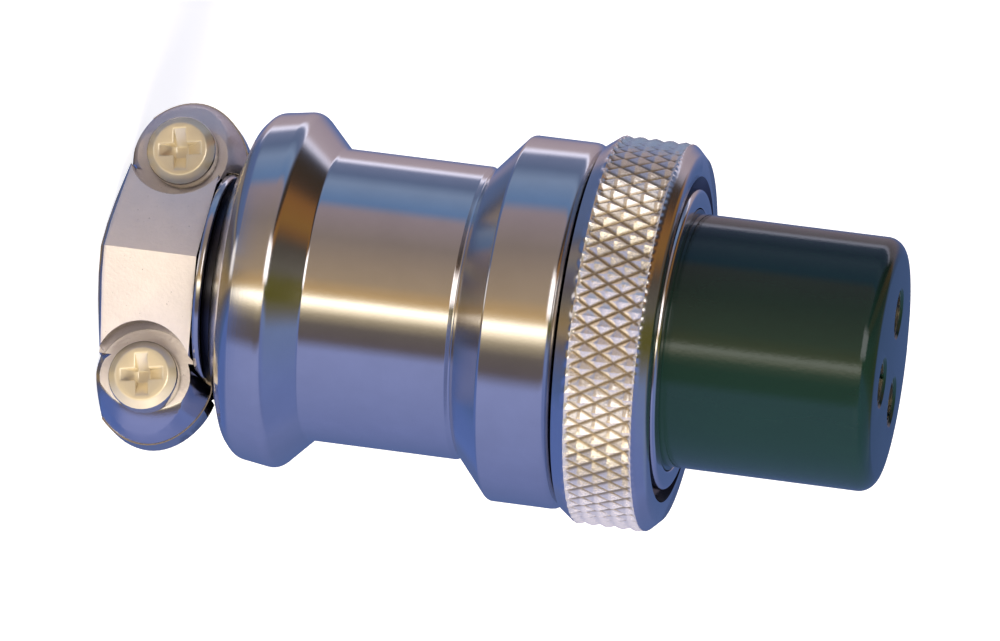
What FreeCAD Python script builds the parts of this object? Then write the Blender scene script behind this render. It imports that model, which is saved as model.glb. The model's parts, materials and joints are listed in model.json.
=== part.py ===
import FreeCAD, Part
import math
import os
from FreeCAD import Placement, Rotation, Vector

# Circular aviation plug for a cable, with three socket contacts. Millimetres.
# The axis of the plug is Z. The rear face of the cable clamp is at Z = 0 and
# the mating face looks up. The clamp is long in X and its screw heads face -Y.

# Fits between pieces
turning_fit = 0.08
screw_fit = 0.05
screw_pass_fit = 0.10
insert_fit = 0.04
contact_fit = 0.02
saddle_gap = 0.10
parting_gap = 0.06
nut_gap = 0.10

# Cable and its clamp
cable_bore_radius = 3.5
clamp_width = 4.85
clamp_rear_bow = 0.28
clamp_rear_flat = 1.2
parting_height = 0.20
screw_bore_gap = 2.15
ear_border = 0.65
ear_flare = 0.55
ear_chamfer = 0.2
spot_face_border = 0.75
saddle_eave_gap = 1.0
saddle_floor_height = 1.75
saddle_roof = 1.70
saddle_slope = 23.0
saddle_rear_rounding = 0.43
jaw_rim = 0.06
jaw_thickness = 3.2
jaw_ear_land = 1.4
jaw_ear_draft = 1.1
jaw_wall = 1.5

# Clamp screws, pan heads with a cross recess
screw_radius = 1.25
screw_tip_gap = 0.20
screw_head_radius = 1.72
screw_head_height = 1.25
screw_head_chamfer = 0.4
recess_width = 0.6
recess_turn = 10.0
recess_reach = 1.05
recess_depth = 0.75

# Back shell, outside, from the neck forward
neck_wall = 1.0
neck_disc_rise = 0.70
neck_disc_length = 0.30
neck_groove_length = 0.68
flange_back_drop = 1.33
flange_bevel_rise = 0.77
flange_bevel_length = 0.94
flange_edge_rise = 1.15
flange_edge_length = 0.54
flange_rise = 1.52
flange_rim_length = 1.80
flange_rim_chamfer = 0.25
flange_front_length = 1.45
barrel_length = 7.30
step_length = 0.20
band_cone_length = 1.66
band_wall = 1.94
band_length = 3.61
band_chamfer = 0.25

# Back shell, inside
shell_wall = 1.08
shell_thread_length = 4.4

# Locking screw through the band
locking_screw_radius = 0.95
locking_screw_slot_width = 0.35
locking_screw_slot_depth = 0.5

# Coupling nut
nut_wall = 1.50
nut_length = 4.59
nut_rear_drop = 0.50
nut_rear_chamfer = 0.69
nut_front_chamfer = 0.60
nut_flange_thickness = 1.0
nut_mouth_chamfer = 0.50
coupling_thread_depth = 0.54

# Collar that holds the insert
collar_wall = 0.55
collar_flange_reach = 0.39
collar_flange_gap = 0.10
collar_flange_thickness = 0.95
collar_recess = 0.20
collar_lip_reach = 0.57
collar_lip_thickness = 1.0

# Insert
insert_radius = 6.18
insert_reach = 10.48
insert_front_rounding = 0.88
insert_rounding_steps = 3
insert_land_step = 0.20
insert_tail_length = 2.0
keyway_width = 1.6
keyway_depth = 0.85
keyway_angle = 120.0
keyway_overlap = 2.0
ring_groove_depth = 0.50
ring_reach = 0.21
ring_thickness = 0.75
ring_mouth_angle = 80.0

# Contacts, each a split socket with a solder cup
contact_count = 3
contact_circle_radius = 2.6
contact_first_angle = 180.0
socket_radius = 1.15
socket_recess = 0.12
pin_radius = 0.93
pin_depth = 7.5
split_width = 0.25
split_depth = 5.0
cup_length = 3.4
cup_radius = 0.68
cup_depth = 2.8

# Places and heights in the clamp, with the parting just before the axis
screw_x = cable_bore_radius + screw_bore_gap
ear_top_radius = screw_head_radius + ear_border
ear_foot_radius = ear_top_radius + ear_flare
ear_station = clamp_rear_bow + ear_top_radius
spot_face_radius = screw_head_radius + spot_face_border
saddle_ridge_height = cable_bore_radius + saddle_roof
saddle_foot = -parting_height
jaw_top = saddle_foot + parting_gap
jaw_bottom = jaw_top + jaw_thickness
screw_length = saddle_floor_height + jaw_bottom - screw_tip_gap

# Stations along the axis
jaw_width = clamp_width + saddle_gap
disc_front = jaw_width + neck_disc_length
flange_back = disc_front + neck_groove_length
cavity_back = flange_back + shell_wall
bevel_front = flange_back + flange_bevel_length
edge_front = bevel_front + flange_edge_length
rim_front = edge_front + flange_rim_length
barrel_back = rim_front + flange_front_length
barrel_front = barrel_back + barrel_length
cone_back = barrel_front + step_length
band_back = cone_back + band_cone_length
shell_front = band_back + band_length
shell_seat = shell_front - shell_thread_length
nut_back = shell_front + nut_gap
nut_front = nut_back + nut_length
collar_front = nut_front - collar_recess
collar_flange_back = collar_front - collar_flange_thickness
insert_front = collar_front + insert_reach

# The collar's lip lies between the insert's shoulder and the retaining ring
lip_back = shell_seat
lip_front = lip_back + collar_lip_thickness
insert_back = lip_back - insert_tail_length

# Radii outwards from the insert, to the nut's knurl and to the shell's band
insert_land_radius = insert_radius + insert_land_step
collar_bore = insert_land_radius + insert_fit
collar_radius = collar_bore + collar_wall
collar_flange_radius = collar_radius + collar_flange_reach
nut_flange_bore = collar_radius + turning_fit
coupling_thread_bore = collar_flange_radius + collar_flange_gap
coupling_thread_radius = coupling_thread_bore + coupling_thread_depth
nut_radius = coupling_thread_radius + nut_wall
shell_thread_bore = collar_radius + screw_fit
band_radius = shell_thread_bore + band_wall

# Radii from the insert's tail to the barrel and its flange
collar_lip_bore = collar_bore - collar_lip_reach
insert_tail_radius = collar_lip_bore - insert_fit
ring_groove_radius = insert_tail_radius - ring_groove_depth
ring_radius = insert_tail_radius + ring_reach
cavity_radius = ring_radius + turning_fit
barrel_radius = cavity_radius + shell_wall
flange_back_radius = barrel_radius - flange_back_drop
flange_bevel_radius = barrel_radius + flange_bevel_rise
flange_edge_radius = barrel_radius + flange_edge_rise
flange_radius = barrel_radius + flange_rise
neck_groove_radius = cable_bore_radius + neck_wall
neck_disc_radius = neck_groove_radius + neck_disc_rise

AXIS = Vector(0, 0, 1)
OUTWARD = Vector(0, -1, 0)
BEYOND = 1.0


def rounded_corner(before, corner, after, radius):
    """The start, middle and end of the arc that rounds a corner of an outline."""
    back = (before - corner).normalize()
    ahead = (after - corner).normalize()
    half_angle = back.getAngle(ahead) / 2
    bisector = (back + ahead).normalize()
    tangent = radius / math.tan(half_angle)
    centre = corner + bisector * (radius / math.sin(half_angle))
    return corner + back * tangent, centre - bisector * radius, corner + ahead * tangent


def outline(corners):
    """A closed wire through corners of (point, rounding radius)."""
    edges = []
    stops = []
    for number, (point, radius) in enumerate(corners):
        before = corners[number - 1][0]
        after = corners[(number + 1) % len(corners)][0]
        if radius:
            start, middle, end = rounded_corner(before, point, after, radius)
            edges.append(Part.Arc(start, middle, end).toShape())
            stops.append((start, end))
        else:
            stops.append((point, point))
    for number, (start, end) in enumerate(stops):
        following = stops[(number + 1) % len(stops)][0]
        if end.distanceToPoint(following) > 1e-6:
            edges.append(Part.makeLine(end, following))
    return Part.Wire(Part.__sortEdges__(edges))


def turned(corners):
    """A solid of revolution about the axis from corners of (radius, z[, rounding])."""
    points = [(Vector(c[0], 0, c[1]), c[2] if len(c) > 2 else 0) for c in corners]
    return Part.Face(outline(points)).revolve(Vector(0, 0, 0), AXIS, 360)


def slab(y, end, half_x, width):
    """A box across the axis from the rear plane, between two heights in Y."""
    return Part.makeBox(2 * half_x, end - y, width, Vector(-half_x, y, 0))


def at_screws(make):
    """What make builds, at each of the two clamp screws."""
    return [make(side * screw_x) for side in (-1, 1)]


def along_y(radius, x, start, end):
    """A cylinder beside the axis, from one height in Y to another."""
    foot = Vector(x, start, ear_station)
    return Part.makeCylinder(radius, end - start, foot, Vector(0, 1, 0))


def ear(x, stops):
    """A round boss at a clamp screw, through (height in Y, radius) stops."""
    corners = [Vector(radius, y, 0) for y, radius in stops]
    ends = [Vector(0, stops[0][0], 0), Vector(0, stops[-1][0], 0)]
    wire = Part.makePolygon([ends[0]] + corners + [ends[1], ends[0]])
    boss = Part.Face(wire).revolve(Vector(0, 0, 0), Vector(0, 1, 0), 360)
    boss.translate(Vector(x, 0, ear_station))
    reach = 4 * screw_x
    behind = Part.makeBox(2 * reach, 2 * reach, reach, Vector(-reach, -reach, -reach))
    return boss.cut(behind)


def is_rear_slope(edge):
    """Whether an edge runs down the roof at the rear."""
    box = edge.BoundBox
    return min(box.XLength, box.YLength) > 1e-3 and box.ZMax < clamp_width / 2


def rear_wedges():
    """What the clamp lacks at the rear, on both sides of its flat middle."""
    reach = 4 * screw_x
    fall = reach * clamp_rear_bow / (screw_x - clamp_rear_flat)
    wedges = []
    for side in (-1, 1):
        corners = [
            Vector(side * clamp_rear_flat, -reach, 0),
            Vector(side * (clamp_rear_flat + reach), -reach, fall),
            Vector(side * (clamp_rear_flat + reach), -reach, -BEYOND),
            Vector(side * clamp_rear_flat, -reach, -BEYOND),
        ]
        face = Part.Face(Part.makePolygon(corners + corners[:1]))
        wedges.append(face.extrude(Vector(0, 2 * reach, 0)))
    return wedges


def clamp_saddle():
    """The loose jaw: a roofed bridge over the cable between two round ears."""
    floor = -saddle_floor_height

    def saddle_ear(x):
        rim = [(floor, ear_top_radius - ear_chamfer), (floor + ear_chamfer, ear_top_radius)]
        return ear(x, rim + [(saddle_foot, ear_foot_radius)])

    eave_x = screw_x - saddle_eave_gap
    eave = saddle_ridge_height - eave_x * math.tan(math.radians(saddle_slope))
    gable = [
        Vector(-eave_x, saddle_foot, 0),
        Vector(-eave_x, -eave, 0),
        Vector(0, -saddle_ridge_height, 0),
        Vector(eave_x, -eave, 0),
        Vector(eave_x, saddle_foot, 0),
    ]
    roof = Part.Face(Part.makePolygon(gable + gable[:1])).extrude(AXIS * clamp_width)
    roof = roof.cut(rear_wedges())
    slopes = [edge for edge in roof.Edges if is_rear_slope(edge)]
    roof = roof.makeFillet(saddle_rear_rounding, slopes)

    def spot_face(x):
        top = -saddle_ridge_height - BEYOND
        return along_y(spot_face_radius, x, top, floor)

    def screw_hole(x):
        radius = screw_radius + screw_pass_fit
        return along_y(radius, x, floor - BEYOND, saddle_foot + BEYOND)

    reach = clamp_width + BEYOND
    channel = Part.makeCylinder(cable_bore_radius, reach, Vector(0, 0, 0), AXIS)
    neck_relief = Part.makeCylinder(
        neck_disc_radius + saddle_gap, reach, Vector(0, 0, clamp_width), AXIS
    )
    body = roof.cut(at_screws(spot_face)).fuse(at_screws(saddle_ear))
    tools = [channel, neck_relief] + rear_wedges() + at_screws(screw_hole)
    return body.cut(tools).removeSplitter()


def clamp_screw(x):
    """A pan head screw with its head on a spot face, pointing to +Y."""
    profile = [
        (Vector(0, -screw_head_height, 0), 0),
        (Vector(screw_head_radius - screw_head_chamfer, -screw_head_height, 0), 0),
        (Vector(screw_head_radius, screw_head_chamfer - screw_head_height, 0), 0),
        (Vector(screw_head_radius, 0, 0), 0),
        (Vector(screw_radius, 0, 0), 0),
        (Vector(screw_radius, screw_length, 0), 0),
        (Vector(0, screw_length, 0), 0),
    ]
    screw = Part.Face(outline(profile)).revolve(Vector(0, 0, 0), Vector(0, 1, 0), 360)
    for turn in (0, 90):
        tip = recess_width / 2
        wedge = Part.makePolygon(
            [
                Vector(-recess_reach, -screw_head_height - BEYOND, 0),
                Vector(recess_reach, -screw_head_height - BEYOND, 0),
                Vector(recess_reach, -screw_head_height, 0),
                Vector(tip, -screw_head_height + recess_depth, 0),
                Vector(-tip, -screw_head_height + recess_depth, 0),
                Vector(-recess_reach, -screw_head_height, 0),
                Vector(-recess_reach, -screw_head_height - BEYOND, 0),
            ]
        )
        wing = Part.Face(wedge).extrude(AXIS * recess_width)
        wing.translate(Vector(0, 0, -recess_width / 2))
        wing.rotate(Vector(0, 0, 0), OUTWARD, turn + recess_turn)
        screw = screw.cut(wing)
    screw.translate(Vector(x, -saddle_floor_height, ear_station))
    return screw


def jaw():
    """The fixed jaw behind the neck, with a round belly and two tapped ears."""
    foot = ear_foot_radius + jaw_rim

    def jaw_ear(x):
        land = (jaw_top + jaw_ear_land, foot)
        return ear(x, [(jaw_top, foot), land, (jaw_bottom, foot - jaw_ear_draft)])

    bar = slab(jaw_top, jaw_bottom, screw_x, jaw_width)
    belly_radius = cable_bore_radius + jaw_wall
    belly = Part.makeCylinder(belly_radius, jaw_width, Vector(0, 0, 0), AXIS)
    belly = belly.common(slab(jaw_top, 2 * belly_radius, belly_radius, jaw_width))
    body = bar.fuse([belly] + at_screws(jaw_ear))
    return body.cut(rear_wedges()).removeSplitter()


def back_shell():
    """The hollow casting from the fixed jaw to the band behind the nut."""
    outside = turned(
        [
            (0, jaw_width),
            (neck_disc_radius, jaw_width),
            (neck_disc_radius, disc_front),
            (neck_groove_radius, disc_front),
            (neck_groove_radius, flange_back),
            (flange_back_radius, flange_back),
            (flange_bevel_radius, bevel_front),
            (flange_edge_radius, edge_front),
            (flange_radius, rim_front - flange_rim_chamfer),
            (flange_radius - flange_rim_chamfer, rim_front),
            (barrel_radius, barrel_back),
            (barrel_radius, cone_back),
            (band_radius, band_back),
            (band_radius, shell_front - band_chamfer),
            (band_radius - band_chamfer, shell_front),
            (0, shell_front),
        ]
    )
    inside = turned(
        [
            (0, -BEYOND),
            (cable_bore_radius, -BEYOND),
            (cable_bore_radius, cavity_back),
            (cavity_radius, cavity_back),
            (cavity_radius, shell_seat),
            (shell_thread_bore, shell_seat),
            (shell_thread_bore, shell_front + BEYOND),
            (0, shell_front + BEYOND),
        ]
    )

    def tapped_hole(x):
        radius = screw_radius + screw_fit
        return along_y(radius, x, jaw_top - BEYOND, jaw_bottom + BEYOND)

    lock_hole = locking_screw_space(locking_screw_radius + screw_fit, band_radius + BEYOND)
    body = outside.fuse(jaw())
    return body.cut([inside, lock_hole] + at_screws(tapped_hole)).removeSplitter()


# The locking screw stands at the middle of the band, on the side away from
# the clamp screw heads
locking_screw_station = (band_back + shell_front) / 2
locking_screw_head = band_radius - 0.15


def locking_screw_space(radius, top):
    """A cylinder along +Y from the collar's thread outwards."""
    foot = Vector(0, collar_radius - BEYOND, locking_screw_station)
    return Part.makeCylinder(radius, top - foot.y, foot, Vector(0, 1, 0))


def locking_screw():
    """The slotted grub screw that keeps the shell from unscrewing."""
    body = locking_screw_space(locking_screw_radius, locking_screw_head)
    collar = Part.makeCylinder(
        collar_radius + contact_fit, 2 * band_length, Vector(0, 0, band_back), AXIS
    )
    corner = Vector(
        -locking_screw_slot_width / 2,
        locking_screw_head - locking_screw_slot_depth,
        locking_screw_station - band_length / 2,
    )
    slot = Part.makeBox(locking_screw_slot_width, BEYOND, band_length, corner)
    return body.cut([collar, slot])


def coupling_nut():
    """The nut that turns on the collar, with an inner flange at its rear."""
    mouth = coupling_thread_bore + nut_mouth_chamfer
    return turned(
        [
            (nut_flange_bore, nut_back),
            (nut_radius - nut_rear_drop, nut_back),
            (nut_radius, nut_back + nut_rear_chamfer),
            (nut_radius, nut_front - nut_front_chamfer),
            (nut_radius - nut_front_chamfer, nut_front),
            (mouth, nut_front),
            (coupling_thread_bore, nut_front - nut_mouth_chamfer),
            (coupling_thread_bore, nut_back + nut_flange_thickness),
            (nut_flange_bore, nut_back + nut_flange_thickness),
        ]
    )


def insert_collar():
    """The flanged sleeve: threaded into the shell, it traps nut and insert."""
    return turned(
        [
            (collar_lip_bore, lip_back),
            (collar_radius, lip_back),
            (collar_radius, collar_flange_back),
            (collar_flange_radius, collar_flange_back),
            (collar_flange_radius, collar_front),
            (collar_bore, collar_front),
            (collar_bore, lip_front),
            (collar_lip_bore, lip_front),
        ]
    )


def contact_places():
    """The centre of each contact on the mating face's circle."""
    for number in range(contact_count):
        angle = math.radians(contact_first_angle + number * 360 / contact_count)
        yield Vector(math.cos(angle), math.sin(angle), 0) * contact_circle_radius


# The contacts are pressed into plain holes, a little behind the mating face
socket_front = insert_front - socket_recess
cup_back = insert_back - cup_length


def insulator():
    """The insert: a long round nose with a keyway and the contact holes."""
    groove_back = lip_back - ring_thickness
    eased_edge = []
    for step in range(1, insert_rounding_steps):
        angle = math.radians(90 * step / insert_rounding_steps)
        eased_edge.append(
            (
                insert_radius - insert_front_rounding * (1 - math.cos(angle)),
                insert_front - insert_front_rounding * (1 - math.sin(angle)),
            )
        )
    body = turned(
        [
            (0, insert_back),
            (insert_tail_radius, insert_back),
            (insert_tail_radius, groove_back),
            (ring_groove_radius, groove_back),
            (ring_groove_radius, lip_back),
            (insert_tail_radius, lip_back),
            (insert_tail_radius, lip_front),
            (insert_land_radius, lip_front),
            (insert_land_radius, nut_front),
            (insert_radius, nut_front),
            (insert_radius, insert_front - insert_front_rounding),
        ]
        + eased_edge
        + [
            (insert_radius - insert_front_rounding, insert_front),
            (0, insert_front),
        ]
    )
    depth = insert_front - insert_back + 2 * BEYOND
    hole = Part.makeCylinder(
        socket_radius + contact_fit, depth, Vector(0, 0, insert_back - BEYOND), AXIS
    )
    keyway_back = collar_front - keyway_overlap
    keyway = Part.makeBox(
        keyway_depth + BEYOND,
        keyway_width,
        insert_front - keyway_back + BEYOND,
        Vector(insert_radius - keyway_depth, -keyway_width / 2, keyway_back),
    )
    keyway.rotate(Vector(0, 0, 0), AXIS, keyway_angle)
    holes = [hole.translated(place) for place in contact_places()]
    return body.cut(holes + [keyway])


def contact():
    """A socket split in two, with a solder cup at its rear end."""
    body = turned(
        [
            (0, cup_back + cup_depth),
            (cup_radius, cup_back + cup_depth),
            (cup_radius, cup_back),
            (socket_radius, cup_back),
            (socket_radius, socket_front),
            (pin_radius, socket_front),
            (pin_radius, socket_front - pin_depth),
            (0, socket_front - pin_depth),
        ]
    )
    reach = 2 * (socket_radius + BEYOND)
    slit_corner = Vector(-reach / 2, -split_width / 2, socket_front - split_depth)
    slit = Part.makeBox(reach, split_width, split_depth + BEYOND, slit_corner)
    cup_corner = Vector(0, -reach / 2, cup_back - BEYOND)
    cup_mouth = Part.makeBox(reach, reach, cup_depth * 0.8 + BEYOND, cup_corner)
    return body.cut([slit, cup_mouth])


def placed_contact(place):
    """A contact in its hole, the open side of its cup facing outwards."""
    outwards = math.degrees(math.atan2(place.y, place.x))
    turn = Placement(place, Rotation(AXIS, outwards))
    return contact().transformed(turn.toMatrix())


def retaining_ring():
    """The open ring snapped on the insert's tail, behind the collar's lip."""
    back = lip_back - ring_thickness + contact_fit
    ring = turned(
        [
            (ring_groove_radius + contact_fit, back),
            (ring_radius, back),
            (ring_radius, lip_back),
            (ring_groove_radius + contact_fit, lip_back),
        ]
    )
    reach = 2 * collar_radius
    half = math.radians(ring_mouth_angle / 2)
    wedge = Part.makePolygon(
        [
            Vector(0, 0, back - BEYOND),
            Vector(reach, -reach * math.tan(half), back - BEYOND),
            Vector(reach, reach * math.tan(half), back - BEYOND),
            Vector(0, 0, back - BEYOND),
        ]
    )
    mouth = Part.Face(wedge).extrude(AXIS * (ring_thickness + 2 * BEYOND))
    return ring.cut(mouth)


def parts():
    """Every piece by its node's name."""
    left, right = at_screws(clamp_screw)
    pieces = {
        "back_shell": back_shell(),
        "clamp_saddle": clamp_saddle(),
        "clamp_screw_left": left,
        "clamp_screw_right": right,
        "locking_screw": locking_screw(),
        "coupling_nut": coupling_nut(),
        "insert_collar": insert_collar(),
        "insulator": insulator(),
        "retaining_ring": retaining_ring(),
    }
    for number, place in enumerate(contact_places(), 1):
        pieces[f"contact_{number}"] = placed_contact(place)
    return pieces


os.makedirs("parts", exist_ok=True)
for name, shape in parts().items():
    shape.exportStep(f"parts/{name}.step")
    box = shape.BoundBox
    print(name, shape.isValid(), len(shape.Solids), round(shape.Volume, 2),
          round(box.ZMin, 3), round(box.ZMax, 3))
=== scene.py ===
import json
import math

import bmesh
import bpy
from mathutils import Matrix, Vector


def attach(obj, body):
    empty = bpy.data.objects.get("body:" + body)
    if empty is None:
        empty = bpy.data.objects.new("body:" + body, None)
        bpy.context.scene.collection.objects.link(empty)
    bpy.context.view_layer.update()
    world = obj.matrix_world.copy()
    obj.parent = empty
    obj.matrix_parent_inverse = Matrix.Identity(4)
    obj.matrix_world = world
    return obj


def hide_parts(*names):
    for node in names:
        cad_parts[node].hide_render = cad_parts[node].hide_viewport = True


MM = 0.001

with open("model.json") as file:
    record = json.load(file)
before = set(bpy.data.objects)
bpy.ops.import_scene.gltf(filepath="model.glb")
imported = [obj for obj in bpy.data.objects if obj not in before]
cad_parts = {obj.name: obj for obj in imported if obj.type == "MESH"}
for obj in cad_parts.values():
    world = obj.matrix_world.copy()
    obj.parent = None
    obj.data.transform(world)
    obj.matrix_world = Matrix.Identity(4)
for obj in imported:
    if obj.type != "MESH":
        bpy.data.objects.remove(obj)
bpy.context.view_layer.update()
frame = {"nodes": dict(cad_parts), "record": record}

# Camera, which sees the plug lying in the picture, its mating face to the right
CAMERA_AZIMUTH = 11.0
CAMERA_ELEVATION = 10.1
CAMERA_TILT = 7.3
VIEW_WIDTH = 48.62 * MM
AIM_HEIGHT = 19.17 * MM
AIM_DOWN = 0.20 * MM
AIM_LEFT = 0.07 * MM
LENS = 300
SENSOR = 36


def direction(azimuth, elevation):
    """Away from the plug, turned from -Y towards +X and raised towards +Z."""
    return Vector(
        (
            math.sin(azimuth) * math.cos(elevation),
            -math.cos(azimuth) * math.cos(elevation),
            math.sin(elevation),
        )
    )


azimuth, elevation, tilt = (
    math.radians(angle) for angle in (CAMERA_AZIMUTH, CAMERA_ELEVATION, CAMERA_TILT)
)
backwards = direction(azimuth, elevation)
upright = Vector((0, 0, 1))
along = (upright - backwards * upright.dot(backwards)).normalized()
across = backwards.cross(along)
right = math.cos(tilt) * along + math.sin(tilt) * across
up = -math.sin(tilt) * along + math.cos(tilt) * across
aim = Vector((0, 0, AIM_HEIGHT)) - up * AIM_DOWN - right * AIM_LEFT
place = aim + backwards * (VIEW_WIDTH * LENS / SENSOR)
camera = bpy.data.objects.new("camera", bpy.data.cameras.new("camera"))
bpy.context.scene.collection.objects.link(camera)
camera.data.lens = LENS
camera.data.sensor_width = SENSOR
camera.data.clip_start = 0.05
camera.data.clip_end = 10
camera.matrix_world = Matrix(
    (
        (right.x, up.x, backwards.x, place.x),
        (right.y, up.y, backwards.y, place.y),
        (right.z, up.z, backwards.z, place.z),
        (0, 0, 0, 1),
    )
)
bpy.context.scene.camera = camera
bpy.context.scene.view_settings.view_transform = "Standard"


# Materials
TURNING_LINE_SCALE = 14.0
TURNED_PAINTED_SHADE = (0.02, 0.02, 0.03)


class Shader:
    """A node tree with short calls for the nodes that the materials need."""

    def __init__(self, name):
        self.material = bpy.data.materials.new(name)
        self.material.use_nodes = True
        self.nodes = self.material.node_tree.nodes
        self.links = self.material.node_tree.links
        self.surface = self.nodes["Principled BSDF"]

    def add(self, kind, **values):
        node = self.nodes.new(kind)
        for key, value in values.items():
            if hasattr(node, key):
                setattr(node, key, value)
            else:
                node.inputs[key.replace("_", " ")].default_value = value
        return node

    def link(self, out, into):
        self.links.new(out, into)

    def position(self, stretch=(1, 1, 1)):
        """The object's coordinates in millimetres, stretched along its axes."""
        source = self.add("ShaderNodeTexCoord")
        scaled = self.add("ShaderNodeMapping", vector_type="POINT")
        scaled.inputs["Scale"].default_value = [value / MM for value in stretch]
        self.link(source.outputs["Object"], scaled.inputs["Vector"])
        return scaled.outputs["Vector"]

    def noise(self, scale, stretch=(1, 1, 1)):
        """Spots from 0 to 1, smaller at a larger scale."""
        texture = self.add("ShaderNodeTexNoise", Scale=scale, Detail=3.0, Roughness=0.6)
        self.link(self.position(stretch), texture.inputs["Vector"])
        return texture.outputs["Fac"]

    def radius_and_height(self):
        """The distance from the plug's axis and the height along it."""
        parts = self.add("ShaderNodeSeparateXYZ")
        self.link(self.position(), parts.inputs["Vector"])
        flat = self.add("ShaderNodeCombineXYZ")
        self.link(parts.outputs["X"], flat.inputs["X"])
        self.link(parts.outputs["Y"], flat.inputs["Y"])
        radius = self.add("ShaderNodeVectorMath", operation="LENGTH")
        self.link(flat.outputs["Vector"], radius.inputs[0])
        return radius.outputs["Value"], parts.outputs["Z"]

    def turning_lines(self):
        """Fine lines round the axis, as a turning tool leaves them."""
        texture = self.add("ShaderNodeTexNoise", Scale=TURNING_LINE_SCALE, Detail=2.0)
        texture.noise_dimensions = "1D"
        radius, height = self.radius_and_height()
        total = self.add("ShaderNodeMath", operation="ADD")
        self.link(radius, total.inputs[0])
        self.link(height, total.inputs[1])
        self.link(total.outputs["Value"], texture.inputs["W"])
        return texture.outputs["Fac"]

    def vary_roughness(self, factor, roughness, share):
        """Roughness that a factor from 0 to 1 moves by a share either way."""
        spread = self.add("ShaderNodeMapRange")
        spread.inputs["To Min"].default_value = roughness * (1 - share)
        spread.inputs["To Max"].default_value = roughness * (1 + share)
        self.link(factor, spread.inputs["Value"])
        self.feed("Roughness", spread.outputs["Result"])

    def rising(self, value, low, high):
        """0 below low, 1 above high, and smooth between."""
        share = self.add("ShaderNodeMapRange", interpolation_type="SMOOTHSTEP")
        share.inputs["From Min"].default_value = low
        share.inputs["From Max"].default_value = high
        self.link(value, share.inputs["Value"])
        return share.outputs["Result"]

    def blend(self, factor, first, second):
        """A colour between two, by a factor from 0 to 1."""
        mix = self.add("ShaderNodeMix", data_type="RGBA")
        mix.inputs["A"].default_value = (*first, 1)
        mix.inputs["B"].default_value = (*second, 1)
        self.link(factor, mix.inputs["Factor"])
        return mix.outputs["Result"]

    def bump(self, height, depth, before=None):
        """A normal tilted by a relief of some depth in millimetres."""
        node = self.add("ShaderNodeBump", Distance=depth * MM)
        self.link(height, node.inputs["Height"])
        if before:
            self.link(before, node.inputs["Normal"])
        return node.outputs["Normal"]

    def paint_shade_in_crevices(self, colour, reach, dark):
        """A colour with painted shade: dark in crevices narrower than the reach in millimetres."""
        near = self.add("ShaderNodeAmbientOcclusion", samples=8, Distance=reach * MM)
        mix = self.add("ShaderNodeMix", data_type="RGBA")
        mix.inputs["A"].default_value = (*dark, 1)
        self.link(colour, mix.inputs["B"])
        self.link(self.rising(near.outputs["AO"], 0.15, 0.75), mix.inputs["Factor"])
        return mix.outputs["Result"]

    def set(self, **values):
        """Values that are the same all over the surface."""
        for key, value in values.items():
            self.surface.inputs[key.replace("_", " ")].default_value = value

    def feed(self, name, out):
        """An output that varies over the surface, into the surface's input."""
        self.link(out, self.surface.inputs[name])


def dimmed(colour, share):
    return tuple(value * share for value in colour)


def turned_metal(name, colour, roughness, grain, lines):
    """Plated metal with turning lines round the axis, a fine sparkle and painted shade in crevices.
    """
    shader = Shader(name)
    shader.set(Metallic=1.0, Anisotropic=0.6, Anisotropic_Rotation=0.25)
    tangent = shader.add("ShaderNodeTangent", direction_type="RADIAL", axis="Z")
    shader.feed("Tangent", tangent.outputs["Tangent"])
    spots = shader.noise(9.0)
    cloudy = shader.blend(shader.noise(0.5), dimmed(colour, 0.86), colour)
    # Painted shade: the base colour goes dark in crevices narrower than 0.2 mm
    shader.feed("Base Color", shader.paint_shade_in_crevices(cloudy, 0.2, TURNED_PAINTED_SHADE))
    shader.vary_roughness(spots, roughness, 0.3)
    normal = shader.bump(shader.turning_lines(), lines)
    shader.feed("Normal", shader.bump(spots, grain, before=normal))
    return shader.material


def cast_metal(name, colour, roughness, grain):
    """Plated metal over a cast skin, with a fine grain."""
    shader = Shader(name)
    shader.set(Metallic=1.0)
    spots = shader.noise(7.0)
    cloud = shader.noise(0.6)
    shader.feed("Base Color", shader.blend(cloud, dimmed(colour, 0.85), colour))
    shader.vary_roughness(cloud, roughness, 0.2)
    shader.feed("Normal", shader.bump(spots, grain))
    return shader.material


def satin_metal(name, colour, roughness, grain, metallic, crevice_shade):
    """Plating over a blasted face, which scatters the light."""
    shader = Shader(name)
    shader.set(Metallic=metallic)
    spots = shader.noise(6.0)
    cloudy = shader.blend(shader.noise(1.2), dimmed(colour, 0.88), colour)
    # Painted shade: the base colour goes dark in crevices narrower than 0.3 mm
    shader.feed("Base Color", shader.paint_shade_in_crevices(cloudy, 0.3, crevice_shade))
    shader.vary_roughness(spots, roughness, 0.2)
    shader.feed("Normal", shader.bump(spots, grain))
    return shader.material


def knurled_metal(name, valley, crest, bottom, top, roughness, metallic):
    """Satin plating, dark at the knurl's bottom radius as painted shade, and bright at its top."""
    shader = Shader(name)
    shader.set(Metallic=metallic, Roughness=roughness)
    radius, _ = shader.radius_and_height()
    # Painted shade: the colour darkens towards the knurl's valleys
    shader.feed("Base Color", shader.blend(shader.rising(radius, bottom, top), valley, crest))
    shader.feed("Normal", shader.bump(shader.noise(4.0), 0.02))
    return shader.material


def moulded_plastic(name, colour, roughness):
    """Dark glossy plastic with faint flow marks along the plug."""
    shader = Shader(name)
    shader.set(Coat_Weight=0.15, Coat_Roughness=0.06)
    cloud = shader.noise(0.5, stretch=(1, 1, 0.4))
    spots = shader.noise(5.0)
    shader.feed("Base Color", shader.blend(cloud, dimmed(colour, 0.8), colour))
    shader.vary_roughness(spots, roughness, 0.2)
    shader.feed("Normal", shader.bump(spots, 0.004))
    return shader.material


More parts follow.
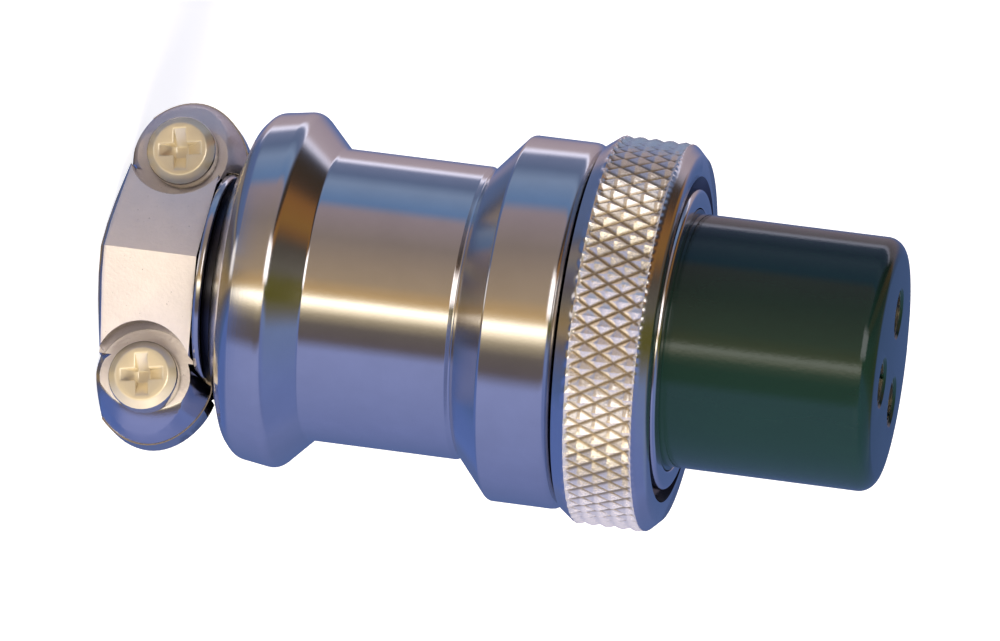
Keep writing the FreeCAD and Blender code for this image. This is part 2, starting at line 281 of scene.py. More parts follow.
NICKEL = (0.78, 0.75, 0.73)
JAW_NICKEL = (0.74, 0.71, 0.69)
SADDLE_NICKEL = (0.80, 0.77, 0.78)
BLASTED_AND_LIT_NICKEL = (0.95, 0.89, 0.88)
BLASTED_PAINTED_SHADE = (0.20, 0.15, 0.12)
SCREW_PLATING = (0.98, 0.88, 0.66)
SCREW_SIDE_PLATING = (0.80, 0.76, 0.66)
SCREW_PAINTED_SHADE = (0.12, 0.08, 0.04)
KNURL_VALLEY_SHADE = (0.45, 0.37, 0.26)
KNURL_CREST = (1.0, 0.95, 0.89)
PAINTED_SHADE_NICKEL = (0.07, 0.07, 0.09)
DARK_STEEL = (0.36, 0.35, 0.34)
SPRING_STEEL = (0.50, 0.50, 0.50)
GREEN_PLASTIC = (0.007, 0.027, 0.021)
CONTACT_PLATING = (0.86, 0.80, 0.62)

materials = {
    "plated_shell": turned_metal("nickel_turned", NICKEL, 0.14, 0.0008, 0.0010),
    "plated_nut": turned_metal("nickel_knurled", NICKEL, 0.18, 0.0006, 0.0004),
    "plated_collar": turned_metal("nickel_collar", NICKEL, 0.16, 0.0006, 0.0010),
    "plated_saddle": cast_metal("nickel_cast", SADDLE_NICKEL, 0.2, 0.004),
    # Screw plating with painted shade in its crevices
    "screw_metal": satin_metal("screw_plating", SCREW_PLATING, 0.22, 0.006, 0.5, SCREW_PAINTED_SHADE),
    "grub_metal": cast_metal("dark_steel", DARK_STEEL, 0.35, 0.006),
    "spring_metal": cast_metal("spring_steel", SPRING_STEEL, 0.30, 0.004),
    "insert_plastic": moulded_plastic("green_plastic", GREEN_PLASTIC, 0.08),
    "contact_metal": cast_metal("contact_plating", CONTACT_PLATING, 0.25, 0.004),
}
jaw_metal = cast_metal("nickel_jaw", JAW_NICKEL, 0.22, 0.005)
# Satin for faces picked by which way they face: a blasted finish, its lighter colour partly painted
# light, with painted shade in crevices
saddle_satin_and_lit = satin_metal(
    "nickel_blasted_and_lit", BLASTED_AND_LIT_NICKEL, 0.30, 0.03, 0.45, BLASTED_PAINTED_SHADE
)
knurl_satin = knurled_metal(
    "nickel_knurl", KNURL_VALLEY_SHADE, KNURL_CREST, 9.24, 9.33, 0.22, 0.75
)
screw_side = cast_metal("screw_side", SCREW_SIDE_PLATING, 0.18, 0.003)
# Near-black nickel: painted shade in the neck groove and inside the nut's mouth
groove_painted_shade = cast_metal("nickel_painted_groove_shade", PAINTED_SHADE_NICKEL, 0.3, 0.004)


# Stations along the axis, in millimetres
JAW_WIDTH = 4.95
DISC_FRONT = 5.38
FLANGE_BACK = 5.93
BEVEL_FRONT = 6.75
EDGE_FRONT = 7.21
RIM_FRONT = 9.09
BARREL_BACK = 10.66
STEP_BACK = 17.88
STEP_FRONT = 18.12
BAND_BACK = 19.82
SHELL_FRONT = 23.43
CAVITY_BACK = 7.01
SHELL_SEAT = 19.03
NUT_BACK = 23.53
NUT_FRONT = 28.12
NUT_WALL_FRONT = 24.53
COLLAR_FLANGE_BACK = 26.97
COLLAR_RIM = 28.27
LIP_FRONT = 20.03
INSERT_BACK = 17.03
INSERT_FRONT = 38.40
RING_BACK = 18.28
LOCKING_SCREW = 21.625
KEYWAY_BACK = 25.92

# Radii and other distances, in millimetres
CABLE_BORE = 3.5
NECK = 5.2
NECK_DISC = 5.3
NECK_GROOVE = 4.5
FLANGE_BACK_RADIUS = 5.85
FLANGE_BEVEL = 7.98
FLANGE_EDGE = 8.50
FLANGE = 8.78
BARREL = 7.18
BARREL_STEP = 7.02
BAND = 8.96
SHELL_THREAD = 7.02
CAVITY = 6.1
LOCKING_HOLE = 1.0
LOCKING_HOLE_FOOT = 6.5
LOCKING_HOLE_LENGTH = 4
NUT = 9.5
NUT_BACK_FACE = 8.4
NUT_BACK_EDGE = 8.98
NUT_FRONT_EDGE = 8.9
NUT_BORE = 7.05
NUT_MOUTH = 7.46
NUT_MOUTH_FRONT = 7.96
COLLAR = 6.97
COLLAR_FLANGE = 7.36
COLLAR_BORE = 6.42
COLLAR_LIP = 5.85
INSERT = 6.18
INSERT_LAND = 6.38
INSERT_TAIL = 5.81
RING_GROOVE = 5.31
CONTACT_HOLE = 1.17
CONTACT_CHAMFER = 0.1
CONTACT_CIRCLE = 2.6
KEYWAY_FLOOR = 5.33
KEYWAY_HALF_WIDTH = 0.8
NEAR_AXIS = 0.0001
BEYOND = 1.0


# Meshes
def rounded(corners, steps=5):
    """The outline through (radius, z, rounding) corners, its arcs in steps."""
    points = []
    for number, (radius, z, rounding) in enumerate(corners):
        corner = Vector((radius, z))
        if not rounding:
            points.append(corner)
            continue
        before = (Vector(corners[number - 1][:2]) - corner).normalized()
        after = (Vector(corners[(number + 1) % len(corners)][:2]) - corner).normalized()
        half = before.angle(after) / 2
        reach = rounding / math.tan(half)
        centre = corner + (before + after).normalized() * (rounding / math.sin(half))
        start = corner + before * reach - centre
        sweep = start.angle_signed(corner + after * reach - centre)
        for step in range(steps + 1):
            turn = Matrix.Rotation(-sweep * step / steps, 2)
            points.append(centre + turn @ start)
    return [(point.x, point.y) for point in points]


def add_object(name, mesh, slot, body, replaced=(), sharp=32):
    """A piece of the object, smooth but for its sharp edges."""
    piece = bpy.data.objects.new(name, mesh)
    bpy.context.scene.collection.objects.link(piece)
    mesh.materials.clear()
    mesh.materials.append(materials[slot])
    for polygon in mesh.polygons:
        polygon.material_index = 0
        polygon.use_smooth = True
    mesh.set_sharp_from_angle(angle=math.radians(sharp))
    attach(piece, body)
    if replaced:
        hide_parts(*replaced)
    return piece


def finished(name, work):
    """A mesh from a working mesh, its faces turned outwards."""
    bmesh.ops.recalc_face_normals(work, faces=work.faces)
    mesh = bpy.data.meshes.new(name)
    work.to_mesh(mesh)
    work.free()
    return mesh


def lathe(name, outline, around=256, shape=None):
    """A closed mesh of revolution from (radius, z) points in millimetres."""
    work = bmesh.new()
    rings = []
    for radius, z in outline:
        ring = []
        for step in range(around):
            angle = math.tau * step / around
            reach = shape(radius, z, angle) if shape else radius
            ring.append(
                work.verts.new((reach * math.cos(angle) * MM, reach * math.sin(angle) * MM, z * MM))
            )
        rings.append(ring)
    for number, ring in enumerate(rings):
        following = rings[(number + 1) % len(rings)]
        for step in range(around):
            ahead = (step + 1) % around
            corners = (ring[step], ring[ahead], following[ahead], following[step])
            if not shape:
                work.faces.new(corners)
                continue
            # Two triangles, which meet along the valley
            first = corners[0].co.xy.length + corners[2].co.xy.length
            second = corners[1].co.xy.length + corners[3].co.xy.length
            if second < first:
                corners = corners[1:] + corners[:1]
            work.faces.new(corners[:3])
            work.faces.new((corners[0], corners[2], corners[3]))
    return finished(name, work)


def rod(radius, low, high):
    """The outline of a solid rod on the axis."""
    return [(NEAR_AXIS, low), (radius, low), (radius, high), (NEAR_AXIS, high)]


def prism(name, outlines):
    """A closed mesh through outlines that have the same number of points."""
    work = bmesh.new()
    rings = [[work.verts.new(Vector(point) * MM) for point in outline] for outline in outlines]
    for ring, following in zip(rings, rings[1:]):
        for number in range(len(ring)):
            ahead = (number + 1) % len(ring)
            work.faces.new((ring[number], ring[ahead], following[ahead], following[number]))
    work.faces.new(rings[0])
    work.faces.new(rings[-1][::-1])
    return finished(name, work)


def evaluated(piece):
    """The piece's mesh with its modifiers applied."""
    graph = bpy.context.evaluated_depsgraph_get()
    return bpy.data.meshes.new_from_object(piece.evaluated_get(graph))


def cut(mesh, tools):
    """A mesh less each tool mesh."""
    body = bpy.data.objects.new("body", mesh)
    bpy.context.scene.collection.objects.link(body)
    helpers = [body]
    for tool in tools:
        helper = bpy.data.objects.new("tool", tool)
        bpy.context.scene.collection.objects.link(helper)
        helpers.append(helper)
        modifier = body.modifiers.new("cut", "BOOLEAN")
        modifier.operation = "DIFFERENCE"
        modifier.solver = "EXACT"
        modifier.object = helper
    result = evaluated(body)
    for helper in helpers:
        bpy.data.objects.remove(helper)
    return result


def node_copy(node):
    """A clean copy of a node's mesh, its flat faces made whole again."""
    work = bmesh.new()
    work.from_mesh(frame["nodes"][node].data)
    bmesh.ops.remove_doubles(work, verts=work.verts, dist=0.0005 * MM)
    bmesh.ops.dissolve_limit(
        work, angle_limit=math.radians(1), verts=work.verts, edges=work.edges
    )
    return work


# The clamp's ears: their place and size in the CAD, then how they are reshaped
SCREW_X = 5.65
EAR_STATION = 2.65
EAR_TOP = -1.75
EAR_FOOT_RADIUS = 2.92
EAR_REAR_GROWTH = 1.076
EAR_NARROWING = 0.13
EAVE_X = 4.65
EAVE_REAR = 0.03
NEAR_EAVE = 0.05
NEAR_REAR = 0.3


def slim_ears(work):
    """Draw the ears in towards their outer ends, and out a little at the rear."""
    for vertex in work.verts:
        x, y, z = vertex.co / MM
        if y < EAR_TOP - 0.01:
            continue
        if abs(abs(x) - EAVE_X) < NEAR_EAVE and z < NEAR_REAR:
            vertex.co.z = EAVE_REAR * MM
        elif abs(x) > EAVE_X + NEAR_EAVE:
            across = z - EAR_STATION
            if across < 0:
                across *= EAR_REAR_GROWTH
            outward = min(max((abs(x) - SCREW_X) / EAR_FOOT_RADIUS, 0), 1)
            vertex.co.z = (EAR_STATION + across * (1 - EAR_NARROWING * outward)) * MM


# Back shell: the turned part, then the cast jaw
GROOVE_HALF_WIDTH = 0.285
GROOVE_REACH = 5.75
EAR_FRONT = 5.5
shell_outline = rounded(
    [
        (CABLE_BORE, JAW_WIDTH, 0),
        (NECK, JAW_WIDTH, 0.04),
        (NECK_DISC, DISC_FRONT, 0.24),
        (NECK_GROOVE, DISC_FRONT, 0),
        (NECK_GROOVE, FLANGE_BACK, 0),
        (FLANGE_BACK_RADIUS, FLANGE_BACK, 0.15),
        (FLANGE_BEVEL, BEVEL_FRONT, 0.7),
        (FLANGE_EDGE, EDGE_FRONT, 0.8),
        (FLANGE, RIM_FRONT, 0.7),
        (BARREL, BARREL_BACK, 0.3),
        (BARREL, STEP_BACK, 0.16),
        (BARREL_STEP, STEP_FRONT, 0.1),
        (BAND, BAND_BACK, 0.25),
        (BAND, SHELL_FRONT, 0.62),
        (SHELL_THREAD, SHELL_FRONT, 0.12),
        (SHELL_THREAD, SHELL_SEAT, 0),
        (CAVITY, SHELL_SEAT, 0),
        (CAVITY, CAVITY_BACK, 0.3),
        (CABLE_BORE, CAVITY_BACK, 0.1),
    ]
)
locking_hole = lathe("hole", rod(LOCKING_HOLE, 0, LOCKING_HOLE_LENGTH), 48)
turned_to_y = Matrix.Rotation(-math.pi / 2, 4, "X")
foot = Matrix.Translation((0, LOCKING_HOLE_FOOT * MM, LOCKING_SCREW * MM))
locking_hole.transform(foot @ turned_to_y)
shell = add_object(
    "shell_turned", cut(lathe("shell_turned", shell_outline), [locking_hole]), "plated_shell",
    "shell", ["back_shell"],
)
shell.data.materials.append(groove_painted_shade)
# The neck groove's faces take the near-black nickel, painted shade
for polygon in shell.data.polygons:
    middle = polygon.center / MM
    in_groove = abs(middle.z - (DISC_FRONT + FLANGE_BACK) / 2) < GROOVE_HALF_WIDTH
    polygon.material_index = int(in_groove and middle.xy.length < GROOVE_REACH)

# The node, less the turned part in front of the jaw and its ears
work = node_copy("back_shell")
bmesh.ops.bisect_plane(
    work,
    geom=work.verts[:] + work.edges[:] + work.faces[:],
    plane_co=(0, 0, JAW_WIDTH * MM),
    plane_no=(0, 0, 1),
)
turned_faces = []
for face in work.faces:
    middle = face.calc_center_median() / MM
    if middle.z > EAR_FRONT or (middle.z > JAW_WIDTH and middle.xy.length < NECK):
        turned_faces.append(face)
bmesh.ops.delete(work, geom=turned_faces, context="FACES")
slim_ears(work)
jaw = add_object("fixed_jaw", finished("fixed_jaw", work), "plated_shell", "shell", ["back_shell"])
jaw.data.materials[0] = jaw_metal


# Clamp: saddle and screws, with their edges eased
EASED_ANGLE = 30
EASED_SEGMENTS = 3
# An ear's outer rim slopes from an arc under the screw's head to its wall. The
# arc's centre is shifted inwards, so that the slope ends beside the screw.
RIM_START = 2.92
RIM_SHIFT = 1.42
RIM_REACH = 1.16
RIM_DROP = 0.90
RIM_STEEPNESS = 0.6
RIM_STEPS = 8
RIM_ARC_STEPS = 64
EAR_DRAFT = 0.46
EAR_CUT_DEPTH = 2.1
EAR_CUT_RADIUS = 6.0
# The roof's rear corners, which a wedge draws in, as (x, z)
WEDGE = [(2.0, 0.05), (2.0, -1.0), (5.0, -1.0), (5.0, 0.46)]
WEDGE_FOOT = 0.02
WEDGE_HEIGHT = 5.0
# Faces with a normal whose Y is below these are satin: a blasted finish whose lighter colour is
# partly painted light on the faces picked by which way they face
SPOT_FACE_NORMAL = -0.985
ROOF_NORMAL = -0.85
LEFT_EAR_NORMAL = -0.3
HEAD_SIDE_NORMAL = -0.6
HEAD_TOP_RADIUS = 1.3


def eased_node(name, node, slot, body, width, shape=None, tools=(), sharp=50):
    """A copy of a CAD node, reshaped, with rounded edges, less each tool mesh."""
    work = node_copy(node)
    if shape:
        shape(work)
    helper = bpy.data.objects.new("helper", finished(name, work))
    bpy.context.scene.collection.objects.link(helper)
    bevel = helper.modifiers.new("ease", "BEVEL")
    bevel.width = width * MM
    bevel.segments = EASED_SEGMENTS
    bevel.limit_method = "ANGLE"
    bevel.angle_limit = math.radians(EASED_ANGLE)
    bevel.use_clamp_overlap = True
    result = evaluated(helper)
    bpy.data.objects.remove(helper)
    if tools:
        result = cut(result, tools)
    return add_object(name, result, slot, body, [node], sharp=sharp)


def ear_rounding(side):
    """A cutter for an ear's outer rim, over half a turn, fading to its two ends."""
    rows = []
    for step in range(RIM_STEPS + 1):
        share = step / RIM_STEPS
        drop = RIM_DROP * (RIM_STEEPNESS * share + (1 - RIM_STEEPNESS) * share**2)
        rows.append((RIM_START + RIM_REACH * share, EAR_TOP + drop))
    foot = RIM_START + RIM_REACH + EAR_DRAFT * (EAR_CUT_DEPTH - RIM_DROP)
    rows += [
        (foot, EAR_TOP + EAR_CUT_DEPTH),
        (EAR_CUT_RADIUS, EAR_TOP + EAR_CUT_DEPTH),
        (EAR_CUT_RADIUS, EAR_TOP - BEYOND),
        (RIM_START, EAR_TOP - BEYOND),
    ]
    half = math.acos(RIM_SHIFT / RIM_START)
    outlines = []
    for step in range(RIM_ARC_STEPS + 1):
        angle = half * (2 * step / RIM_ARC_STEPS - 1)
        outlines.append(
            [
                (
                    side * (SCREW_X - RIM_SHIFT + radius * math.cos(angle)),
                    depth,
                    EAR_STATION + radius * math.sin(angle),
                )
                for radius, depth in rows
            ]
        )
    return prism("rounding", outlines)


def rear_wedge(side):
    """A cutter that draws in the roof's rear corner, at the saddle's eave."""
    heights = (EAR_TOP - WEDGE_FOOT, EAR_TOP - WEDGE_HEIGHT)
    return prism("wedge", [[(side * x, depth, z) for x, z in WEDGE] for depth in heights])


saddle = eased_node(
    "saddle_cast", "clamp_saddle", "plated_saddle", "clamp", 0.07, slim_ears,
    tools=[ear_rounding(-1), ear_rounding(1), rear_wedge(-1), rear_wedge(1)], sharp=24,
)
saddle.data.materials.append(saddle_satin_and_lit)
# Faces picked by which way they face take the lighter satin, partly painted light
for polygon in saddle.data.polygons:
    limit = SPOT_FACE_NORMAL
    if polygon.center.y < (EAR_TOP - 0.1) * MM:
        limit = ROOF_NORMAL
    elif polygon.center.x < 0:
        limit = LEFT_EAR_NORMAL
    polygon.material_index = int(polygon.normal.y < limit)

# The screws' heads are satin but for their bright sides
for name, node in (("screw_a", "clamp_screw_left"), ("screw_b", "clamp_screw_right")):
    screw = eased_node(name, node, "screw_metal", "clamp", 0.06)
    screw.data.materials.append(screw_side)
    for polygon in screw.data.polygons:
        middle = polygon.center / MM
        from_axis = math.hypot(abs(middle.x) - SCREW_X, middle.z - EAR_STATION)
        beside_top = from_axis > HEAD_TOP_RADIUS and polygon.normal.y > HEAD_SIDE_NORMAL
        polygon.material_index = int(beside_top)


# Coupling nut: knurl outside, thread inside
KNURLS = 70
KNURL_STEPS = 12
KNURL_ROWS = 27
KNURL_DEPTH = 0.28
KNURL_TOP = 0.95
KNURL_FADE = 0.22
KNURL_FADED_SHARE = 0.3
KNURL_BACK = NUT_BACK + 0.69
KNURL_FRONT = NUT_FRONT - 0.60
KNURL_PITCH = (KNURL_FRONT - KNURL_BACK) * KNURL_STEPS / KNURL_ROWS
OUTER_FACES = 8.6
KNURL_FACES = 9.2
MOUTH_FACES = 8.1
CHAMFER_STEPS = 5
THREAD_PITCH = 1.0
THREAD_DEPTH = 0.5
THREAD_ROWS = 30


def ridge(turns):
    """0 at a whole number of turns, rising to 1 half way between."""
    return 1 - abs(2 * (turns - math.floor(turns)) - 1)


def nut_shape(radius, z, angle):
    """The nut's radius with its knurl and its thread."""
    if radius > OUTER_FACES:
        around = KNURLS * angle / math.tau
        height = (z - KNURL_BACK) / KNURL_PITCH
        crest = min(ridge(around + height), ridge(around - height)) / KNURL_TOP
        inside = min(z - KNURL_BACK, KNURL_FRONT - z) / KNURL_FADE
        share = max(0, min(1, inside + KNURL_FADED_SHARE))
        return min(radius, NUT - KNURL_DEPTH * share * (1 - min(1, crest)))
    if abs(radius - NUT_MOUTH) < 0.05 and z < NUT_FRONT - 0.3:
        return radius + THREAD_DEPTH * ridge(z / THREAD_PITCH - angle / math.tau)
    return radius


def spread(first, last, count):
    """Points from one (radius, z) to another, the last left out."""
    (radius, z), (last_radius, last_z) = first, last
    return [
        (radius + (last_radius - radius) * step / count, z + (last_z - z) * step / count)
        for step in range(count)
    ]


nut_outline = (
    [(NUT_BORE, NUT_BACK), (NUT_BACK_FACE, NUT_BACK)]
    + spread((NUT_BACK_EDGE, NUT_BACK), (NUT, KNURL_BACK), CHAMFER_STEPS)
    + spread((NUT, KNURL_BACK), (NUT, KNURL_FRONT), KNURL_ROWS)
    + spread((NUT, KNURL_FRONT), (NUT_FRONT_EDGE, NUT_FRONT), CHAMFER_STEPS)
    + [(NUT_FRONT_EDGE, NUT_FRONT), (NUT_MOUTH_FRONT, NUT_FRONT)]
    + spread((NUT_MOUTH, NUT_FRONT - 0.5), (NUT_MOUTH, NUT_WALL_FRONT), THREAD_ROWS)
    + [(NUT_MOUTH, NUT_WALL_FRONT), (NUT_BORE, NUT_WALL_FRONT)]
)
nut = add_object(
    "nut_knurled", lathe("nut_knurled", nut_outline, KNURLS * KNURL_STEPS, nut_shape),
    "plated_nut", "nut", ["coupling_nut"], sharp=50,
)
nut.data.materials.append(knurl_satin)
nut.data.materials.append(groove_painted_shade)
# Knurl faces take the knurl's colours; the faces inside the mouth take the near-black nickel,
# painted shade
for polygon in nut.data.polygons:
    middle = polygon.center / MM
    if middle.xy.length > KNURL_FACES and KNURL_BACK < middle.z < KNURL_FRONT:
        polygon.material_index = 1
    elif middle.xy.length < MOUTH_FACES and middle.z < NUT_FRONT - 0.01:
        polygon.material_index = 2

# Collar
collar_outline = rounded(
    [
        (COLLAR_LIP, SHELL_SEAT, 0),
        (COLLAR, SHELL_SEAT, 0.1),
        (COLLAR, COLLAR_FLANGE_BACK, 0),
        (COLLAR_FLANGE, COLLAR_FLANGE_BACK, 0),
        (COLLAR_FLANGE, COLLAR_RIM, 0.24),
        (COLLAR_BORE, COLLAR_RIM, 0.08),
        (COLLAR_BORE, LIP_FRONT, 0),
        (COLLAR_LIP, LIP_FRONT, 0),
    ]
)
add_object(
    "collar_turned", lathe("collar_turned", collar_outline), "plated_collar", "shell",
    ["insert_collar"],
)

# Insert, with three contact holes and a keyway
insert_outline = rounded(
    [
        (NEAR_AXIS, INSERT_BACK, 0),
        (INSERT_TAIL, INSERT_BACK, 0.1),
        (INSERT_TAIL, RING_BACK, 0),
        (RING_GROOVE, RING_BACK, 0),
        (RING_GROOVE, SHELL_SEAT, 0),
        (INSERT_TAIL, SHELL_SEAT, 0),
        (INSERT_TAIL, LIP_FRONT, 0),
        (INSERT_LAND, LIP_FRONT, 0),
        (INSERT_LAND, COLLAR_RIM, 0.05),
        (INSERT, COLLAR_RIM, 0),
        (INSERT, INSERT_FRONT, 0.88),
        (NEAR_AXIS, INSERT_FRONT, 0),
    ],
    steps=12,
)
hole_outline = [
    (NEAR_AXIS, INSERT_BACK - BEYOND),
    (CONTACT_HOLE, INSERT_BACK - BEYOND),
    (CONTACT_HOLE, INSERT_FRONT - CONTACT_CHAMFER),
    (CONTACT_HOLE + CONTACT_CHAMFER, INSERT_FRONT),
    (CONTACT_HOLE + CONTACT_CHAMFER, INSERT_FRONT + BEYOND),
    (NEAR_AXIS, INSERT_FRONT + BEYOND),
]
tools = []
for turn in (180, 300, 60):
    angle = math.radians(turn)
    hole = lathe("hole", hole_outline, 64)
    spot = Vector((math.cos(angle), math.sin(angle), 0)) * CONTACT_CIRCLE * MM
    hole.transform(Matrix.Translation(spot))
    tools.append(hole)
keyway_outline = [
    (KEYWAY_FLOOR, -KEYWAY_HALF_WIDTH),
    (KEYWAY_FLOOR, KEYWAY_HALF_WIDTH),
    (INSERT + BEYOND, KEYWAY_HALF_WIDTH),
    (INSERT + BEYOND, -KEYWAY_HALF_WIDTH),
]
keyway = prism(
    "keyway",
    [[(x, y, z) for x, y in keyway_outline] for z in (KEYWAY_BACK, INSERT_FRONT + BEYOND)],
)
keyway.transform(Matrix.Rotation(math.radians(120), 4, "Z"))
tools.append(keyway)
add_object(
    "insert_moulded", cut(lathe("insert_moulded", insert_outline), tools), "insert_plastic",
    "shell", ["insulator"],
)

# Finish on the nodes that are shown as they are
hidden = {
    "back_shell", "clamp_saddle", "clamp_screw_left", "clamp_screw_right", "coupling_nut",
    "insert_collar", "insulator",
}
for entry in frame["record"]["subparts"]:
    if entry["node"] in hidden:
        continue
    node = frame["nodes"][entry["node"]]
    for slot in node.material_slots:
        slot.material = materials[entry["material_slot"]]

# Floor, white to the camera but for the plug's shadow, and clear to the metal
FLOOR_GLOW = 0.80
FLOOR_SIZE = 3
work = bmesh.new()
bmesh.ops.create_grid(work, x_segments=1, y_segments=1, size=FLOOR_SIZE)
floor = bpy.data.objects.new("floor", bpy.data.meshes.new("floor"))
work.to_mesh(floor.data)
work.free()
bpy.context.scene.collection.objects.link(floor)
shader = Shader("floor_white")
shader.set(Base_Color=(0.8, 0.8, 0.82, 1), Roughness=0.9, Specular_IOR_Level=0.0)
rays = shader.add("ShaderNodeLightPath")
glow = shader.add("ShaderNodeEmission", Strength=FLOOR_GLOW)
glow.inputs["Color"].default_value = (1, 1, 1, 1)
lit = shader.add("ShaderNodeAddShader")
clear = shader.add("ShaderNodeBsdfTransparent")
seen = shader.add("ShaderNodeMixShader")
mirrored = shader.add("ShaderNodeMixShader")
shader.link(glow.outputs["Emission"], lit.inputs[0])
shader.link(shader.surface.outputs["BSDF"], lit.inputs[1])
shader.link(rays.outputs["Is Camera Ray"], seen.inputs["Fac"])
shader.link(rays.outputs["Is Glossy Ray"], mirrored.inputs["Fac"])
shader.link(shader.surface.outputs["BSDF"], mirrored.inputs[1])
shader.link(clear.outputs["BSDF"], mirrored.inputs[2])
shader.link(mirrored.outputs["Shader"], seen.inputs[1])
shader.link(lit.outputs["Shader"], seen.inputs[2])
shader.link(seen.outputs["Shader"], shader.nodes["Material Output"].inputs["Surface"])
floor.data.materials.append(shader.material)

# A broad soft lamp before the plug, which matt and satin faces see
KEY_ENERGY = 5.6
KEY_COLOUR = (1.0, 0.88, 0.68)
KEY_SPREAD = 50
KEY_AZIMUTH = 62
KEY_ELEVATION = 20
lamp = bpy.data.objects.new("key", bpy.data.lights.new("key", "SUN"))
bpy.context.scene.collection.objects.link(lamp)
lamp.data.energy = KEY_ENERGY
lamp.data.color = KEY_COLOUR
lamp.data.angle = math.radians(KEY_SPREAD)
lamp.visible_glossy = False
towards_lamp = direction(math.radians(KEY_AZIMUTH), math.radians(KEY_ELEVATION))
lamp.rotation_euler = towards_lamp.to_track_quat("Z", "Y").to_euler()

# World: a plain level for matt surfaces, and soft panels that the metal
# mirrors. RING runs round the plug, by degrees from the camera's direction
# towards -X. AHEAD and BEHIND lie beyond its two ends, in stripes by degrees
# from the axis towards -X. Two lamps stand in the ring's upper and lower
# parts, where LAMP_ANGLES and LAMP_HEIGHTS both say so.
WORLD_LEVEL = (0.19, 0.18, 0.26)
RING = [
    (-180, (0.08, 0.13, 0.30)),
    (-120, (0.19, 0.24, 0.52)),
    (-45, (0.28, 0.33, 0.64)),
    (-36, (0.13, 0.11, 0.12)),
    (-24, (0.15, 0.13, 0.12)),
    (-16, (0.45, 0.38, 0.26)),
    (-11, (1.50, 1.30, 0.95)),
    (-6, (2.60, 2.45, 2.10)),
    (-2, (0.90, 0.68, 0.40)),
    (2, (0.60, 0.40, 0.18)),
    (12, (0.42, 0.32, 0.22)),
    (45, (0.28, 0.23, 0.21)),
    (70, (0.34, 0.28, 0.32)),
    (78, (0.14, 0.25, 0.48)),
    (98, (0.24, 0.33, 0.52)),
    (110, (0.13, 0.18, 0.32)),
    (126, (0.20, 0.24, 0.40)),
    (131, (1.20, 1.20, 1.50)),
    (137, (0.50, 0.42, 0.48)),
    (155, (0.40, 0.33, 0.40)),
    (168, (0.14, 0.19, 0.40)),
    (180, (0.08, 0.13, 0.30)),
]
AHEAD = [
    (-90, (0.12, 0.15, 0.35)),
    (-40, (0.16, 0.22, 0.51)),
    (-18, (0.18, 0.25, 0.47)),
    (-13, (0.17, 0.18, 0.21)),
    (-9, (0.15, 0.14, 0.09)),
    (-5, (0.12, 0.11, 0.02)),
    (3, (0.12, 0.11, 0.03)),
    (8, (0.13, 0.12, 0.10)),
    (19, (0.08, 0.07, 0.06)),
    (24, (0.20, 0.10, 0.04)),
    (28, (0.27, 0.14, 0.04)),
    (36, (0.27, 0.12, 0.04)),
    (40, (0.06, 0.04, 0.03)),
    (47, (0.04, 0.03, 0.02)),
    (60, (0.14, 0.16, 0.25)),
    (90, (0.16, 0.20, 0.40)),
]
BEHIND = [
    (-90, (0.12, 0.18, 0.45)),
    (-26, (0.11, 0.18, 0.49)),
    (-21, (0.08, 0.14, 0.33)),
    (-12, (0.11, 0.13, 0.24)),
    (-6.6, (0.15, 0.13, 0.12)),
    (-3, (0.34, 0.25, 0.15)),
    (1, (0.32, 0.22, 0.10)),
    (5, (0.24, 0.19, 0.13)),
    (9, (0.14, 0.13, 0.12)),
    (13, (0.11, 0.09, 0.11)),
    (17, (0.12, 0.13, 0.20)),
    (20, (0.24, 0.22, 0.19)),
    (23, (0.31, 0.24, 0.20)),
    (25.5, (0.06, 0.07, 0.11)),
    (28, (0.11, 0.16, 0.31)),
    (90, (0.12, 0.18, 0.45)),
]
LAMP_ANGLES = [(-180, 0), (0, 0), (8, 1), (26, 1), (36, 0), (180, 0)]
LAMP_HEIGHTS = [
    (-1, 0), (-0.9, 0), (-0.8, 0.5), (-0.66, 0.5), (-0.58, 0),
    (0.2, 0), (0.3, 1), (0.68, 1), (0.78, 0), (1, 0),
]
LAMP_COLOUR = (2.2, 2.1, 2.1)
BEYOND_RING = 0.60
WITHIN_RING = 0.45

world = bpy.data.worlds.new("studio")
bpy.context.scene.world = world
world.use_nodes = True
nodes, links = world.node_tree.nodes, world.node_tree.links
nodes.clear()


def compute(operation, *values):
    """A math node on numbers and outputs of other nodes."""
    node = nodes.new("ShaderNodeMath")
    node.operation = operation
    for socket, value in zip(node.inputs, values):
        if isinstance(value, (int, float)):
            socket.default_value = value
        else:
            links.new(value, socket)
    return node.outputs["Value"]


def share_along(source, axis):
    """How far a direction of view runs along an axis."""
    node = nodes.new("ShaderNodeVectorMath")
    node.operation = "DOT_PRODUCT"
    node.inputs[1].default_value = axis
    links.new(source, node.inputs[0])
    return node.outputs["Value"]


def stripes(stops, low, high, value):
    """Colours, or shares from 0 to 1, at stops between low and high."""
    node = nodes.new("ShaderNodeValToRGB")
    elements = node.color_ramp.elements
    while len(elements) < len(stops):
        elements.new(0.5)
    for element, (place, colour) in zip(elements, stops):
        element.position = (place - low) / (high - low)
        element.color = (*colour, 1) if isinstance(colour, tuple) else (colour, colour, colour, 1)
    links.new(value, node.inputs["Fac"])
    return node.outputs["Color"]


def mixed(blend_type, factor, first, second):
    """Two colours mixed by a factor, each a value or an output of a node."""
    node = nodes.new("ShaderNodeMix")
    node.data_type = "RGBA"
    node.blend_type = blend_type
    for name, value in (("Factor_Float", factor), ("A_Color", first), ("B_Color", second)):
        socket = next(item for item in node.inputs if item.identifier == name)
        if isinstance(value, (int, float)):
            socket.default_value = value
        elif isinstance(value, tuple):
            socket.default_value = (*value, 1)
        else:
            links.new(value, socket)
    return next(item for item in node.outputs if item.identifier == "Result_Color")


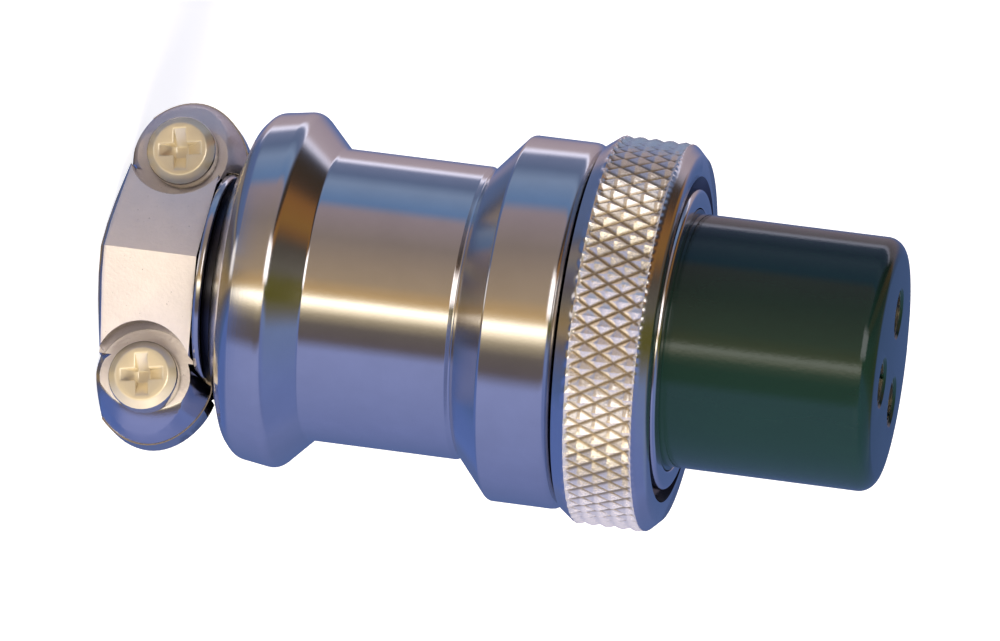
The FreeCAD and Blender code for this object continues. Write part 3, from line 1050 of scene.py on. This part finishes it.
def rising(value, low, high):
    """0 below low, 1 above high, and smooth between."""
    node = nodes.new("ShaderNodeMapRange")
    node.interpolation_type = "SMOOTHSTEP"
    node.inputs["From Min"].default_value = low
    node.inputs["From Max"].default_value = high
    links.new(value, node.inputs["Value"])
    return node.outputs["Result"]


def background(colour):
    """Light of one colour from all round, or of a node's colours."""
    node = nodes.new("ShaderNodeBackground")
    if isinstance(colour, tuple):
        node.inputs["Color"].default_value = (*colour, 1)
    else:
        links.new(colour, node.inputs["Color"])
    return node.outputs["Background"]


def chosen(factor, first, second):
    """The first light where the factor is 0, the second where it is 1."""
    node = nodes.new("ShaderNodeMixShader")
    links.new(factor, node.inputs["Fac"])
    links.new(first, node.inputs[1])
    links.new(second, node.inputs[2])
    return node.outputs["Shader"]


view = nodes.new("ShaderNodeTexCoord").outputs["Generated"]
towards_camera = share_along(view, (math.sin(azimuth), -math.cos(azimuth), 0))
sideways = share_along(view, (-math.cos(azimuth), -math.sin(azimuth), 0))
height = share_along(view, (0, 0, 1))
round_plug = compute("MULTIPLY", compute("ARCTAN2", sideways, towards_camera), 180 / math.pi)
round_share = compute("MULTIPLY_ADD", round_plug, 1 / 360, 0.5)
over_plug = compute("ARCTAN2", sideways, compute("ABSOLUTE", height))
over_share = compute("MULTIPLY_ADD", over_plug, 1 / math.pi, 0.5)
height_share = compute("MULTIPLY_ADD", height, 0.5, 0.5)
colour = stripes(RING, -180, 180, round_share)
for stops, end in ((AHEAD, height), (BEHIND, compute("MULTIPLY", height, -1))):
    beyond = rising(end, WITHIN_RING, BEYOND_RING)
    colour = mixed("MIX", beyond, colour, stripes(stops, -90, 90, over_share))
lamp_angles = stripes(LAMP_ANGLES, -180, 180, round_share)
lamp_heights = stripes(LAMP_HEIGHTS, -1, 1, height_share)
colour = mixed("MIX", mixed("MULTIPLY", 1.0, lamp_angles, lamp_heights), colour, LAMP_COLOUR)
rays = nodes.new("ShaderNodeLightPath")
shown = chosen(rays.outputs["Is Glossy Ray"], background(WORLD_LEVEL), background(colour))
shown = chosen(rays.outputs["Is Camera Ray"], shown, background((1.0, 1.0, 1.0)))
links.new(shown, nodes.new("ShaderNodeOutputWorld").inputs["Surface"])
